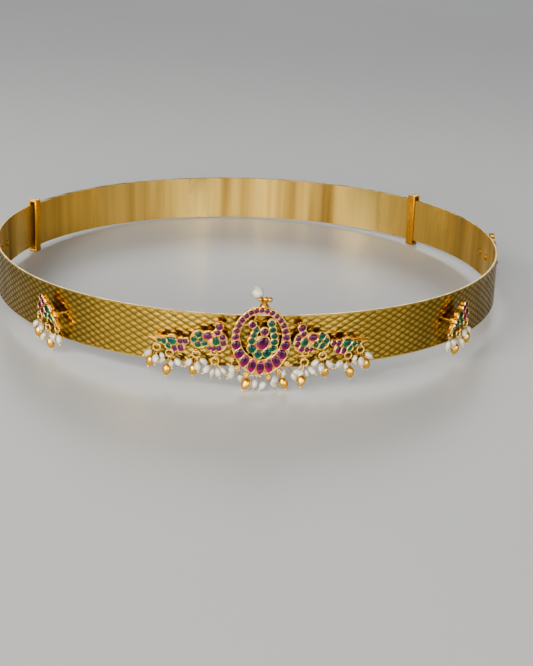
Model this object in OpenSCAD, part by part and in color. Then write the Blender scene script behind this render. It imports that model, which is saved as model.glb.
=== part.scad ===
// Waist belt of springy gilt strip, with a peacock medallion and bead drops.
// Millimetres. +Z is up, the front faces -Y. The origin is the middle of the
// waist opening, at the level of the surface that the belt stands on.

/* [Strip] */
// Height of the strip
band_h = 25; // [23:0.5:30]
// Thickness of the strip at its rims
band_t = 1; // [0.9:0.05:1.3]
// Height of the plain rim along each edge
rim_h = 0.8; // [0.5:0.1:1.5]
// How far the patterned field lies below the rims
field_d = 0.2; // [0.1:0.05:0.3]

/* [Loop] */
// Inside radius of the front stretch
front_r = 130; // [124:1:140]
// Inside radius of the stretches at the sides
side_r = 155; // [150:1:170]
// Turn from the centre front at which a side stretch starts
side_from = 57; // [54:1:60]
// Turn from the centre front at which a side stretch ends
side_to = 107; // [104:1:110]
// Gap between the two layers where the ends overlap
lap_gap = 0.5; // [0.3:0.1:1]
// Turn from the centre front to the keeper on the left
left_end = 114; // [112:1:125]
// Turn from the centre front to the keeper on the right
right_end = 129; // [120:1:140]

/* [Keepers] */
// Width of a keeper along the strip
keeper_w = 5; // [3:0.5:8]
// Thickness of a keeper's strap
keeper_t = 1; // [0.8:0.1:1.4]
// Room between a keeper and the strip, inside and outside
keeper_gap = 0.15; // [0.1:0.05:0.3]
// How far a keeper stands below and above the strip
keeper_reach = 2.7; // [2:0.1:4]

/* [Settings] */
// Distance from the strip to the back of a setting
stand_off = 3.2; // [2.5:0.1:4.5]
// Thickness of a setting
setting_t = 2; // [1.8:0.1:2.6]
// Depth of the pocket for a stone
pocket_d = 1.2; // [1:0.1:1.4]
// Room round a stone in its pocket
stone_gap = 0.1; // [0.1:0.02:0.16]
// How far a stone stands above its setting
dome_h = 0.9; // [0.5:0.1:1.3]
// Metal round the outermost stones
edge_w = 0.45; // [0.4:0.05:0.6]
// Radius of the posts that carry a setting
post_r = 0.8; // [0.6:0.05:1]
// Radius of a rivet head inside the strip
rivet_r = 1.7; // [1.3:0.1:2.2]
// Height of a rivet head
rivet_h = 0.6; // [0.4:0.1:0.9]

/* [Medallion] */
// Width of the medallion
medal_w = 26.7; // [26:0.1:28]
// Height of the medallion
medal_h = 32.4; // [32:0.2:34]
// Width of its opening
hole_w = 19.6; // [19.2:0.1:20]
// Height of its opening
hole_h = 22.6; // [22.2:0.2:23]
// How far the opening's middle lies above the medallion's
hole_up = 2.05; // [1.8:0.05:2.3]
// Height of the medallion's middle above the strip's
medal_up = 2; // [1:0.25:3]
// Small stones in the ring
ring_small = 15; // [15:15]
// Large stones in the ring
ring_large = 9; // [9:9]
// Pitch of the large stones, in degrees
ring_pitch = 19.4; // [19:0.2:19.8]
// Radius of a rosette on its lower edge
rosette_r = 1.15; // [1:0.05:1.25]
// Diameter of the pearl on top
top_pearl_d = 5.8; // [4.5:0.1:5.9]

/* [Places of the settings] */
// Turn from the centre front to each peacock
peacock_at = 9.8; // [9.6:0.1:10.4]
// Turn from the centre front to each leaf spray beside it
leaf_at = 18.1; // [18:0.1:19.5]
// Turn from the centre front to the front side sprays
side_spray_at = 47; // [40:1:56]
// Turn from the centre front to the rear side sprays
rear_spray_at = 95; // [80:1:104]
// How far a side spray is turned
spray_turn = 45; // [38:1:48]
// Height of the front side sprays above the strip's middle
side_spray_up = 0.6; // [0.3:0.1:2]
// Height of the rear side sprays above the strip's middle
rear_spray_up = 3.4; // [3:0.1:3.8]

/* [Drops] */
// Length of a pearl
pearl_l = 4.2; // [3.8:0.1:4.4]
// Diameter of a pearl
pearl_d = 2.9; // [2.6:0.1:3]
// Length of a gold bead
gold_l = 5.4; // [4.6:0.1:5.6]
// Diameter of a gold bead
gold_d = 3.9; // [3.2:0.1:4]
// Radius of a head pin's wire
pin_r = 0.25; // [0.2:0.01:0.28]
// Room between a pin and the bore of its bead
bore_gap = 0.1; // [0.1:0.01:0.14]
// Radius of the ball that ends a pin
ball_r = 0.55; // [0.5:0.05:0.7]
// Radius of a jump ring, to the middle of its wire
ring_r = 1.75; // [1.7:0.05:1.85]
// Radius of a rosette's ring, to the middle of its wire
rosette_ring_r = 1.25; // [1.2:0.05:1.3]
// Radius of a ring's wire
ring_wire = 0.26; // [0.22:0.01:0.28]
// Radius of a pin's eye, to the middle of its wire
eye_r = 0.56; // [0.54:0.01:0.6]
// Radius of the wire in a pin's eye
eye_wire = 0.17; // [0.15:0.01:0.18]

/* [Hidden] */
GOLD = "goldenrod";
RUBY = "mediumvioletred";
EMERALD = "seagreen";
PEARL = "ivory";
$fn = 48;

// Strip and loop. A half is 1 on the right and -1 on the left. The left half's
// radii grow, so that it runs outside the right half by lap where they overlap.
lap = band_t + lap_gap;
back_r = side_r + (front_r - side_r) * sin(side_from) / sin(side_to);
lap_front = lap * (sin(side_to) * (cos(side_from) - cos(side_to))
    + (sin(side_to) - sin(side_from)) * cos(side_to)) / lap_share();
lap_side = -lap * (sin(side_from) * cos(side_to)
    + (1 - cos(side_from)) * sin(side_to)) / lap_share();
function lap_share() = sin(side_from) * (cos(side_from) - cos(side_to))
    - (sin(side_to) - sin(side_from)) * (1 - cos(side_from));
function outward(turn) = [sin(turn), -cos(turn)];
function radius(half, k) = [front_r, side_r, back_r][k] + (half > 0 ? 0 : [lap_front, lap_side, lap][k]);
function starts(k) = [0, side_from, side_to][k];
function centre(half, k) = k == 0
    ? [0, front_y + radius(half, 0)]
    : centre(half, k - 1) + (radius(half, k - 1) - radius(half, k)) * outward(starts(k));
// The loop is as deep in front of the origin as behind it.
loop_depth = front_r + back_r - (front_r - side_r) * cos(side_from) - (side_r - back_r) * cos(side_to);
front_y = -loop_depth / 2;
function stretch(turn) = turn < side_from ? 0 : turn < side_to ? 1 : 2;
function on_strip(turn, out) = let (
    half = turn < 0 ? -1 : 1,
    k = stretch(abs(turn)),
    p = centre(half, k) + (radius(half, k) + out) * outward(abs(turn))
) [half * p[0], p[1]];

// The belt leans back on its keepers, with its lowest drops on the table.
band_mid = keeper_reach + band_h / 2;
// The lowest drop's tip: below the strip's middle, and in front of the strip.
drop_reach = 23.1;
drop_out = 7;
lean_from = (keeper_foot(left_end, -1) + keeper_foot(right_end, 1)) / 2;
lean_dir = keeper_foot(right_end, 1) - keeper_foot(left_end, -1);
lean_len = norm(lean_dir);
front_reach = (lean_dir[0] * (lean_from[1] - front_y + drop_out) - lean_dir[1] * lean_from[0]) / lean_len;
lean = asin((drop_reach - band_mid) / front_reach);
function keeper_foot(turn, half) = let (
    p = centre(1, 2) + (back_r + lap + band_t + keeper_gap + keeper_t) * outward(turn)
) [half * p[0], p[1]];
module settle() {
    translate([lean_from[0], lean_from[1], 0])
        rotate(a = -lean, v = [lean_dir[0], lean_dir[1], 0])
            translate([-lean_from[0], -lean_from[1], 0]) children();
}

// Stones: [across, up, length, width, point, turn of the long axis], each
// table from the middle of its setting.
medal_emeralds = [
    [-2.3, 5.4, 2.2, 2.1, 0, 60], [-3.3, 2.8, 2.1, 2.0, 0, 70], [-4.2, 0, 2.6, 2.4, 0, 90],
    [-4.0, -3.7, 3.5, 3.1, 0.2, 120], [-1.2, -6.2, 3.5, 2.8, 0.2, 100], [2.9, -5.8, 3.6, 3.2, 0.2, 40],
    [5.5, -3.35, 3.1, 2.2, 0.2, 20], [6.2, -0.4, 2.5, 2.4, 0, 0], [6.1, 2.6, 2.3, 2.4, 0, 0],
    [5.3, 5.5, 2.3, 2.3, 0, 0], [4.7, 8.4, 2.6, 2.2, 0.2, 100],
];
medal_rubies = [[0.95, -0.9, 5.6, 4.6, 0.3, 45], [1.6, 4.5, 2.8, 2.8, 0, 0], [-4.0, 7.7, 2.4, 2.4, 0, 0]];
peacock_rubies = [
    [4.5, 8.1, 2.8, 2.6, 0, 0], [3.7, 5.3, 2.2, 2.1, 0, 0], [6.1, 3.2, 2.2, 2.1, 0, 60],
    [6.5, 0.4, 2.3, 2.1, 0, 110], [4.4, -2.1, 2.1, 2, 0, 60], [2, -2.4, 1.8, 1.7, 0, 0],
    [0, -2.3, 1.5, 1.4, 0, 0], [-0.8, 3.4, 3.8, 2.7, 0, 0],
];
peacock_emeralds = [
    [3.1, 1.3, 3.6, 2.7, 0.3, 90], [-7.1, 1.6, 2.5, 2.1, 0.2, 60], [-5, 4, 2.8, 2.3, 0.2, 50],
    [-3.9, 1.4, 1.5, 1.4, 0, 0], [-5.3, -0.9, 2.4, 2.2, 0, 150], [-2.2, -0.2, 2.4, 1.8, 0.2, 20],
];
leaf_rubies = [
    [4.9, 1.3, 2.2, 2.1, 0, 0], [7.3, 1.5, 2, 1.9, 0, 0],
    [2.2, -2.4, 2.6, 2, 0.2, 100], [5, -1.9, 3, 2.3, 0, 95],
];
leaf_emeralds = [
    [0.5, 1.2, 4.2, 3, 0.3, 155], [-3.1, 0.4, 2.4, 1.8, 0, 110],
    [-5.2, 0.7, 1.7, 1.5, 0, 0], [-0.9, -1.6, 2.5, 1.7, 0, 125],
];
// Discs that make up the outline of a setting: [across, up, radius].
peacock_discs = [[3.3, 0.9, 4.9], [-4.7, 1.5, 4.1], [-0.7, 2.6, 3], [3.7, 5.3, 1.8], [4.5, 8.1, 1.9]];
leaf_discs = [
    [0.5, 1.2, 2.7], [3.2, -0.4, 2.6], [4.9, 1.3, 1.7], [7.3, 1.5, 1.5], [5, -1.9, 2.1],
    [2.2, -2.4, 1.9], [-0.9, -1.4, 1.8], [-3.1, 0.4, 1.6], [-5.2, 0.7, 1.3],
];
leaf_tip = [[-4.9, 1.9], [-10.8, 1.6], [-5.4, -0.5]];
// The bar behind a spray: [length, height, thickness], and where it lies.
leaf_bar = [13, 2.4, 0.7];
front_leaf_mid = [1.6, -1.4];
// Link bars across the medallion's opening: [from, to].
medal_links = [[[7, 3.2], [10.4, 3.2]], [[-4.3, -4.6], [-7, -8.2]], [[-4, 8], [-1.2, 13.8]],
    [[-4, 7.6], [-9.6, 7]], [[0.9, 1], [1.5, 3.6]], [[-1.6, -1.4], [-3.4, -1.6]], [[1, -3], [1, -6]]];
// Jump rings: [across, up], from the middle of their setting.
peacock_rings = [[-6.3, -6.3], [2.4, -9.2]];
leaf_rings = [[-5.6, -4.9], [0.6, -7.2]];
leaf_tops = [[-4.2, -1.6], [0.6, -3.4]];
// The same on the side and rear sprays, each ring with its bar's upper end.
spray_rings = [[7.6, -4.6], [1.6, -8.8], [-5.6, -7.6]];
spray_tops = [[5, 0.4], [2.8, -1.6], [-5, -3.8]];
// Rosettes round the medallion's lower edge, by their turn from the bottom, and
// loops without one: [across, up], with the drops of each below.
rosette_turns = [-60, -43, -25, 15.5, 35.5, 53.5];
medal_loops = [[-3.9, -17.1], [-1.4, -17]];
rosette_drops = [
    [[4, 24, 4.7, "p"]],
    [[-38, -12, 4.8, "p"], [18, -18, 5.9, "p"]],
    [],
    [[-34, 10, 4.7, "p"], [34, -22, 5, "p"]],
    [[-30, 38, 4.6, "p"], [22, 2, 5.9, "g"]],
    [[-22, 50, 5.2, "s"], [30, 0, 7.2, "p"]],
];
loop_drops = [[[-30, 18, 5, "g"]], [[-10, 0, 4.8, "p"]]];
// Drops on a jump ring: [spread, lean outwards, distance from the ring, kind],
// where the kind is a pearl, a small pearl or a gold bead.
peacock_drops = [
    [[-38, 0, 5.6, "p"], [-10, -10, 8.3, "g"], [12, 28, 5.7, "p"], [42, -12, 5.2, "p"]],
    [[-44, 26, 5.4, "p"], [-12, -10, 5.8, "p"], [20, 16, 5.6, "p"]],
];
leaf_drops = [
    [[-53, 2, 5.4, "p"], [-24, -6, 8.2, "g"], [2, 30, 5.7, "p"], [38, 10, 4.8, "s"]],
    [[-46, -16, 6.4, "p"], [-8, 2, 8.2, "g"], [20, 30, 5.2, "s"], [48, 0, 5.8, "p"]],
];
spray_drops = [
    [[35, 0, 5.4, "p"], [0, 8, 7.2, "g"]],
    [[25, 14, 5.4, "p"], [-12, -4, 7.6, "g"]],
    [[-15, 0, 5.4, "p"]],
];
small_share = 0.72;
drop_slack = 0.05;
setting_mid = stand_off + setting_t / 2;
// Rings and bars lie below the pockets, and a rosette's ring behind its disc.
hang_w = stand_off + (setting_t - pocket_d) / 2;
loop_w = stand_off;

// The strip, from its right end round the front to its left end. Each stretch
// is bent in short flats: [stretch, turn].
flat_turn = 1.5;
function flats(end) = let (stops = [side_from, side_to, end]) [
    for (k = [0:2]) let (sweep = stops[k] - starts(k), count = ceil(sweep / flat_turn))
        for (i = [1:count]) [k, starts(k) + sweep * i / count],
];
function reversed(list) = [for (i = [len(list) - 1:-1:0]) list[i]];
function half_line(half, end, out, past) = [
    for (flat = concat(flats(end), past > 0 ? [[2, end + past]] : [])) let (
        p = centre(half, flat[0]) + (radius(half, flat[0]) + out) * outward(flat[1])
    ) [half * p[0], p[1]],
];
// A line along the strip, out from its inner face, and past its ends by a turn.
function strip_line(out, past = 0) = concat(
    reversed(half_line(1, 360 - left_end, out, past)),
    [[0, front_y - out]],
    half_line(-1, 360 - right_end, out, past)
);
module strip_layer(low, high, past = 0) {
    polygon(concat(strip_line(low, past), reversed(strip_line(high, past))));
}
module band() {
    color(GOLD) settle() difference() {
        translate([0, 0, keeper_reach]) difference() {
            linear_extrude(band_h) strip_layer(0, band_t);
            translate([0, 0, rim_h]) linear_extrude(band_h - 2 * rim_h)
                strip_layer(band_t - field_d, band_t + lap_gap / 2, 1);
        }
        for (turn = post_turns)
            on_band(turn) translate([0, 0, -2 * band_t]) cylinder(r = post_r + post_gap, h = 3 * band_t);
    }
}
// A strap round both layers, at one end of the strip.
module keeper(turn, half) {
    low = back_r - keeper_gap - keeper_t;
    depth = lap + band_t + 2 * keeper_gap + 2 * keeper_t;
    height = band_h + 2 * keeper_reach;
    sweep = keeper_w / back_r * 180 / PI;
    color(GOLD) settle() mirror([half > 0 ? 0 : 1, 0, 0])
        translate([centre(1, 2)[0], centre(1, 2)[1], 0])
            rotate([0, 0, turn - 90 - sweep / 2])
                rotate_extrude(angle = sweep, $fn = 360)
                    difference() {
                        translate([low, 0]) square([depth, height]);
                        translate([low + keeper_t, keeper_t])
                            square([depth - 2 * keeper_t, height - 2 * keeper_t]);
                    }
}

// Room round a post in its hole, and how far a post runs into what it joins.
post_gap = 0.05;
post_sink = 0.4;
// Settings stand on the strip: x runs along it, y up and z outwards.
module on_band(turn, up = 0) {
    p = on_strip(turn, band_t);
    translate([p[0], p[1], band_mid + up]) rotate([90, 0, turn]) children();
}
function along(length) = length / (front_r + stand_off) * 180 / PI;
medal_posts = [for (s = [-1, 1]) s * along((medal_w + hole_w) / 4)];
peacock_post_x = 4.2;
leaf_post_x = 5.2;
peacock_posts = [for (s = [-1, 1]) s * along(peacock_post_x)];
leaf_posts = [for (s = [-1, 1]) s * along(leaf_post_x)];
function about(turn, posts) = [for (p = posts) turn + p];
post_turns = [
    each medal_posts,
    for (s = [-1, 1]) each about(s * peacock_at, peacock_posts),
    for (s = [-1, 1], a = [leaf_at, side_spray_at, rear_spray_at]) each about(s * a, leaf_posts),
];
// Posts riveted through the strip.
module posts(turns) {
    // the strip curves away behind a flat setting
    reach = stand_off + post_sink + (front_r + stand_off) * (1 - cos((turns[1] - turns[0]) / 2));
    for (turn = turns) on_band(turn) {
        translate([0, 0, -band_t - post_sink]) cylinder(r = post_r, h = band_t + post_sink + reach);
        translate([0, 0, -band_t - post_gap - rivet_h]) cylinder(r = rivet_r, h = rivet_h);
    }
}
function oval(stone, grow) = [
    for (i = [0:11]) let (t = i * 30 + 15) [
        (stone[2] / 2 + grow) * cos(t),
        (stone[3] / 2 + grow) * sin(t) * (1 - stone[4] * cos(t)),
    ],
];
module at_stone(stone) {
    translate([stone[0], stone[1], 0]) rotate([0, 0, stone[5]]) children();
}
module pockets(stones) {
    for (stone = stones) at_stone(stone)
        translate([0, 0, stand_off + setting_t - pocket_d])
            linear_extrude(pocket_d + 1) polygon(oval(stone, stone_gap));
}
// A domed stone with a flat table and twelve sides. Its crown is made of
// levels: [share of the outline, share of the height above the setting].
girdle = 0.11;
crown = [[1, girdle], [0.82, 0.65], [0.5, 1]];
module stones(table) {
    sunk = pocket_d - stone_gap;
    for (stone = table) at_stone(stone) translate([0, 0, stand_off + setting_t - sunk]) hull()
        for (level = crown)
            linear_extrude(sunk + dome_h * level[1]) polygon(oval(stone, 0) * level[0]);
}
module disc(d) {
    translate([d[0], d[1], stand_off]) cylinder(r = d[2], h = setting_t);
}
module bar(from, to, r = 0.38, level = hang_w) {
    run = to - from;
    translate([from[0], from[1], level]) rotate([0, 90, atan2(run[1], run[0])])
        cylinder(r = r, h = norm(run));
}
module jump_ring(place, r = ring_r, level = hang_w) {
    translate([place[0], place[1], level])
        rotate_extrude() translate([r, 0]) circle(r = ring_wire, $fn = 16);
}

// Medallion.
function medal_outer(t) = [medal_w / 2 * sin(t), medal_h / 2 * cos(t)];
function medal_inner(t) = [hole_w / 2 * sin(t), hole_h / 2 * cos(t) + hole_up];
function medal_middle(t) = (medal_outer(t) + medal_inner(t)) / 2;
large_sweep = ring_large * ring_pitch;
small_pitch = (360 - large_sweep) / ring_small;
ring_fill = 0.92;
function ring_stone(t, pitch) = let (
    run = medal_outer(t) - medal_inner(t),
    side = medal_middle(t + pitch / 2) - medal_middle(t - pitch / 2)
) [
    medal_middle(t)[0], medal_middle(t)[1], norm(run) - 2 * edge_w - 2 * stone_gap,
    norm(side) * ring_fill - edge_w - 2 * stone_gap, 0, atan2(run[1], run[0]),
];
ring_stones = [
    for (i = [0:ring_large - 1]) ring_stone(180 - large_sweep / 2 + (i + 0.5) * ring_pitch, ring_pitch),
    for (i = [0:ring_small - 1]) ring_stone(180 + large_sweep / 2 + (i + 0.5) * small_pitch, small_pitch),
];
// A rosette: outside the edge, above its ring's middle, its thickness, and its
// petals.
rosette_out = 1.9;
rosette_up = 0.75;
rosette_t = 1.1;
petals = 6;
petal_share = 0.35;
link_r = 0.45;
link_sink = 0.3;
function rosette_at(turn) = medal_outer(180 - turn) + rosette_out * outward(turn);
function rosette_ring(turn) = rosette_at(turn) - [0, rosette_up];
// A flower in front of its ring, on a short link from the edge.
module rosette(turn) {
    at = rosette_at(turn);
    petal_r = rosette_r * petal_share;
    rise = stand_off + setting_t - rosette_t;
    bar(at, medal_outer(180 - turn) - link_sink * outward(turn), link_r, rise + rosette_t / 2);
    translate([at[0], at[1], rise]) {
        cylinder(r = rosette_r * 0.8, h = rosette_t);
        for (k = [0:petals - 1]) rotate([0, 0, 360 / petals * k]) translate([rosette_r - petal_r, 0, 0])
            cylinder(r = petal_r, h = rosette_t * 0.8);
        translate([0, 0, rosette_t]) sphere(r = petal_r);
    }
    hung_loop(rosette_ring(turn), rise + link_sink - loop_w);
}
// A small ring with a stalk from its top to the metal in front of it.
module hung_loop(place, stalk) {
    jump_ring(place, rosette_ring_r, loop_w);
    translate([place[0], place[1] + rosette_ring_r, loop_w]) cylinder(r = ring_wire, h = stalk);
}
module medallion_frame() {
    color(GOLD) settle() {
        posts(medal_posts);
        on_band(0, medal_up) {
            difference() {
                union() {
                    translate([0, 0, stand_off]) linear_extrude(setting_t) difference() {
                        polygon([for (t = [0:5:355]) medal_outer(t)]);
                        polygon([for (t = [0:5:355]) medal_inner(t)]);
                    }
                    for (stone = concat(medal_emeralds, medal_rubies))
                        disc([stone[0], stone[1], max(stone[2], stone[3]) / 2 + edge_w + 1.5 * stone_gap]);
                    for (link = medal_links) bar(link[0], link[1], link_r, setting_mid);
                }
                pockets(concat(ring_stones, medal_emeralds, medal_rubies));
            }
            for (turn = rosette_turns) rosette(turn);
            for (loop = medal_loops) hung_loop(loop, setting_t / 2);
            crest();
        }
    }
}
// The cup and three balls on top of the medallion, and the pearl's peg.
crest_foot = [1.1, medal_h / 2 - 0.3];
cup = [[0, 0], [1.8, 0], [2.1, 0.6], [1.8, 1.2], [1.2, 1.7], [1.5, 2.5], [1.9, 3.3], [0, 3.3]];
peg_foot = crest_foot + [0, 2.7];
// Balls: [across, above the foot, radius]. The peg runs up, left and back.
crest_balls = [[-0.8, 4, 0.95], [1.5, 4.1, 1.2], [3.6, 4, 1.15]];
peg = [-3.1, 3.6, -2.2];
peg_r = 0.45;
module crest() {
    translate([crest_foot[0], crest_foot[1], setting_mid]) rotate([-90, 0, 0]) rotate_extrude()
        polygon(cup);
    for (ball = crest_balls)
        translate([ball[0], crest_foot[1] + ball[1], setting_mid + 1]) sphere(r = ball[2]);
    at_peg() cylinder(r = peg_r, h = norm(peg) + top_pearl_d * 0.1);
}
module at_peg() {
    translate([peg_foot[0], peg_foot[1], setting_mid])
        rotate([0, acos(peg[2] / norm(peg)), atan2(peg[1], peg[0])]) children();
}
// Half-drilled, and pushed on its peg.
module top_pearl() {
    color(PEARL) settle() on_band(0, medal_up) at_peg() difference() {
        translate([0, 0, norm(peg)]) sphere(d = top_pearl_d);
        translate([0, 0, norm(peg) - top_pearl_d])
            cylinder(r = peg_r + bore_gap, h = top_pearl_d * 1.15);
    }
}

// Peacock, facing right, and leaf spray, with its tip to the left. The bird has
// a comb of balls round its head, the last disc, and its feet stand on a perch.
comb_turns = [-42, -14, 14, 42];
comb_r = 0.52;
comb_out = 0.35;
perch = [[-1.2, -6], [5.2, -6]];
feet = [0.6, 3.4];
feet_top = -3;
tail_foot = [-6.3, -1.6];
module peacock_body() {
    difference() {
        for (d = peacock_discs) disc(d);
        pockets(concat(peacock_rubies, peacock_emeralds));
    }
    head = peacock_discs[4];
    for (turn = comb_turns) translate([head[0], head[1], setting_mid]) rotate([0, 0, turn])
        translate([0, head[2] + comb_out, 0]) sphere(r = comb_r);
    for (x = feet) bar([x, feet_top], [x, perch[0][1]]);
    bar(perch[0], perch[1]);
    bar([peacock_rings[1][0], perch[0][1]], peacock_rings[1] + [0, ring_r]);
    bar(tail_foot, peacock_rings[0] + [0, ring_r]);
    for (ring = peacock_rings) jump_ring(ring);
}
module at_spray(turn, at) {
    translate([at[0], at[1], 0]) rotate([0, 0, turn]) children();
}
module leaf_body(turn, at) {
    // a bar behind carries the spray on its posts
    translate([-leaf_bar[0] / 2, -leaf_bar[1] / 2, stand_off]) cube(leaf_bar);
    at_spray(turn, at) difference() {
        union() {
            for (d = leaf_discs) disc(d);
            translate([0, 0, stand_off]) linear_extrude(setting_t) polygon(leaf_tip);
        }
        pockets(concat(leaf_rubies, leaf_emeralds));
    }
}
module hangers(rings, tops) {
    for (i = [0:len(rings) - 1]) {
        bar(tops[i], rings[i] + [0, ring_r]);
        jump_ring(rings[i]);
    }
}
module turned(half) { mirror([half > 0 ? 0 : 1, 0, 0]) children(); }
module peacock_at(half) { settle() on_band(half * peacock_at) turned(-half) children(); }
module leaf_at(half) { settle() on_band(half * leaf_at) turned(-half) children(); }
module spray_at(half, turn) { settle() on_band(half * turn) turned(half) children(); }
function spray_mid(turn) = [0, turn == rear_spray_at ? rear_spray_up : side_spray_up];
module peacock_frame(half) {
    color(GOLD) {
        settle() posts(about(half * peacock_at, peacock_posts));
        peacock_at(half) peacock_body();
    }
}
module front_leaf_frame(half) {
    color(GOLD) {
        settle() posts(about(half * leaf_at, leaf_posts));
        leaf_at(half) {
            leaf_body(0, front_leaf_mid);
            hangers(leaf_rings, leaf_tops);
        }
    }
}
module side_leaf_frame(half, turn) {
    color(GOLD) {
        settle() posts(about(half * turn, leaf_posts));
        spray_at(half, turn) {
            leaf_body(spray_turn, spray_mid(turn));
            translate([0, spray_mid(turn)[1], 0]) hangers(spray_rings, spray_tops);
        }
    }
}

module medallion_stones(table, colour) { color(colour) settle() on_band(0, medal_up) stones(table); }
module peacock_stones(half, table, colour) { color(colour) peacock_at(half) stones(table); }
module leaf_stones(half, table, colour) {
    color(colour) leaf_at(half) at_spray(0, front_leaf_mid) stones(table);
}
module spray_stones(half, turn, table, colour) {
    color(colour) spray_at(half, turn) at_spray(spray_turn, spray_mid(turn)) stones(table);
}

// Drops: a bead on a head pin whose eye holds a ring.
function bead_l(kind) = kind == "g" ? gold_l : pearl_l * (kind == "s" ? small_share : 1);
function bead_d(kind) = kind == "g" ? gold_d : pearl_d * (kind == "s" ? small_share : 1);
module bead(length, d, pin) {
    bore = pin + bore_gap;
    cut = asin(2 * bore / d);
    rotate_extrude() polygon([
        for (i = [0:8]) let (t = cut + (180 - 2 * cut) * i / 8) [d / 2 * sin(t), length / 2 * cos(t)],
    ]);
}
module at_drop(ring, r, level, drop) {
    translate([ring[0], ring[1], level]) rotate([0, 0, drop[0]])
        translate([0, -r, 0]) rotate([90 - drop[1], 0, 0]) children();
}
module drop_bead(ring, r, level, drop) {
    at_drop(ring, r, level, drop) translate([0, 0, drop[2] - r]) bead(bead_l(drop[3]), bead_d(drop[3]), pin_r);
}
module drop_pin(ring, r, level, drop) {
    tip = drop[2] - r + bead_l(drop[3]) / 2 + ball_r + drop_slack;
    at_drop(ring, r, level, drop) {
        rotate([0, 90, 0]) rotate_extrude() translate([eye_r, 0]) circle(r = eye_wire, $fn = 16);
        translate([0, 0, eye_r]) cylinder(r = pin_r, h = tip - eye_r);
        translate([0, 0, tip]) sphere(r = ball_r);
    }
}
function of_kind(drops, kinds) = [for (d = drops) if (len(search(d[3], kinds)) > 0) d];
module front_row(half, kinds, pins = false) {
    peacock_at(half) for (i = [0:1]) hang(peacock_rings[i], peacock_drops[i], kinds, pins);
    leaf_at(half) for (i = [0:1]) hang(leaf_rings[i], leaf_drops[i], kinds, pins);
}
module side_row(half, turn, kinds, pins = false) {
    spray_at(half, turn) translate([0, spray_mid(turn)[1], 0])
        for (i = [0:len(spray_rings) - 1]) hang(spray_rings[i], spray_drops[i], kinds, pins);
}
module medal_row(kinds, pins = false) {
    settle() on_band(0, medal_up) {
        for (i = [0:len(rosette_turns) - 1])
            hang(rosette_ring(rosette_turns[i]), rosette_drops[i], kinds, pins, rosette_ring_r, loop_w);
        for (i = [0:len(medal_loops) - 1])
            hang(medal_loops[i], loop_drops[i], kinds, pins, rosette_ring_r, loop_w);
    }
}
module hang(ring, drops, kinds, pins, r = ring_r, level = hang_w) {
    for (d = of_kind(drops, kinds))
        if (pins) drop_pin(ring, r, level, d);
        else drop_bead(ring, r, level, d);
}

band();
keeper(left_end, -1);  // left_keeper
keeper(right_end, 1);  // right_keeper
medallion_frame();
medallion_stones(ring_stones, RUBY);  // medallion_ring_rubies
medallion_stones(medal_emeralds, EMERALD);  // medallion_emeralds
medallion_stones(medal_rubies, RUBY);  // medallion_rubies
top_pearl();
peacock_frame(-1);  // left_peacock_frame
peacock_stones(-1, peacock_rubies, RUBY);  // left_peacock_rubies
peacock_stones(-1, peacock_emeralds, EMERALD);  // left_peacock_emeralds
peacock_frame(1);  // right_peacock_frame
peacock_stones(1, peacock_rubies, RUBY);  // right_peacock_rubies
peacock_stones(1, peacock_emeralds, EMERALD);  // right_peacock_emeralds
front_leaf_frame(-1);  // left_leaf_frame
leaf_stones(-1, leaf_rubies, RUBY);  // left_leaf_rubies
leaf_stones(-1, leaf_emeralds, EMERALD);  // left_leaf_emeralds
front_leaf_frame(1);  // right_leaf_frame
leaf_stones(1, leaf_rubies, RUBY);  // right_leaf_rubies
leaf_stones(1, leaf_emeralds, EMERALD);  // right_leaf_emeralds
side_leaf_frame(-1, side_spray_at);  // left_side_frame
spray_stones(-1, side_spray_at, leaf_rubies, RUBY);  // left_side_rubies
spray_stones(-1, side_spray_at, leaf_emeralds, EMERALD);  // left_side_emeralds
side_leaf_frame(1, side_spray_at);  // right_side_frame
spray_stones(1, side_spray_at, leaf_rubies, RUBY);  // right_side_rubies
spray_stones(1, side_spray_at, leaf_emeralds, EMERALD);  // right_side_emeralds
side_leaf_frame(-1, rear_spray_at);  // left_rear_frame
spray_stones(-1, rear_spray_at, leaf_rubies, RUBY);  // left_rear_rubies
spray_stones(-1, rear_spray_at, leaf_emeralds, EMERALD);  // left_rear_emeralds
side_leaf_frame(1, rear_spray_at);  // right_rear_frame
spray_stones(1, rear_spray_at, leaf_rubies, RUBY);  // right_rear_rubies
spray_stones(1, rear_spray_at, leaf_emeralds, EMERALD);  // right_rear_emeralds
color(GOLD) medal_row("psg", true);  // medallion_pins
color(PEARL) medal_row("ps");  // medallion_pearls
color(GOLD) medal_row("g");  // medallion_gold_beads
color(GOLD) front_row(-1, "psg", true);  // left_front_pins
color(PEARL) front_row(-1, "ps");  // left_front_pearls
color(GOLD) front_row(-1, "g");  // left_front_gold_beads
color(GOLD) front_row(1, "psg", true);  // right_front_pins
color(PEARL) front_row(1, "ps");  // right_front_pearls
color(GOLD) front_row(1, "g");  // right_front_gold_beads
color(GOLD) side_row(-1, side_spray_at, "psg", true);  // left_side_pins
color(PEARL) side_row(-1, side_spray_at, "ps");  // left_side_pearls
color(GOLD) side_row(-1, side_spray_at, "g");  // left_side_gold_beads
color(GOLD) side_row(1, side_spray_at, "psg", true);  // right_side_pins
color(PEARL) side_row(1, side_spray_at, "ps");  // right_side_pearls
color(GOLD) side_row(1, side_spray_at, "g");  // right_side_gold_beads
color(GOLD) side_row(-1, rear_spray_at, "psg", true);  // left_rear_pins
color(PEARL) side_row(-1, rear_spray_at, "ps");  // left_rear_pearls
color(GOLD) side_row(-1, rear_spray_at, "g");  // left_rear_gold_beads
color(GOLD) side_row(1, rear_spray_at, "psg", true);  // right_rear_pins
color(PEARL) side_row(1, rear_spray_at, "ps");  // right_rear_pearls
color(GOLD) side_row(1, rear_spray_at, "g");  // right_rear_gold_beads
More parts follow.
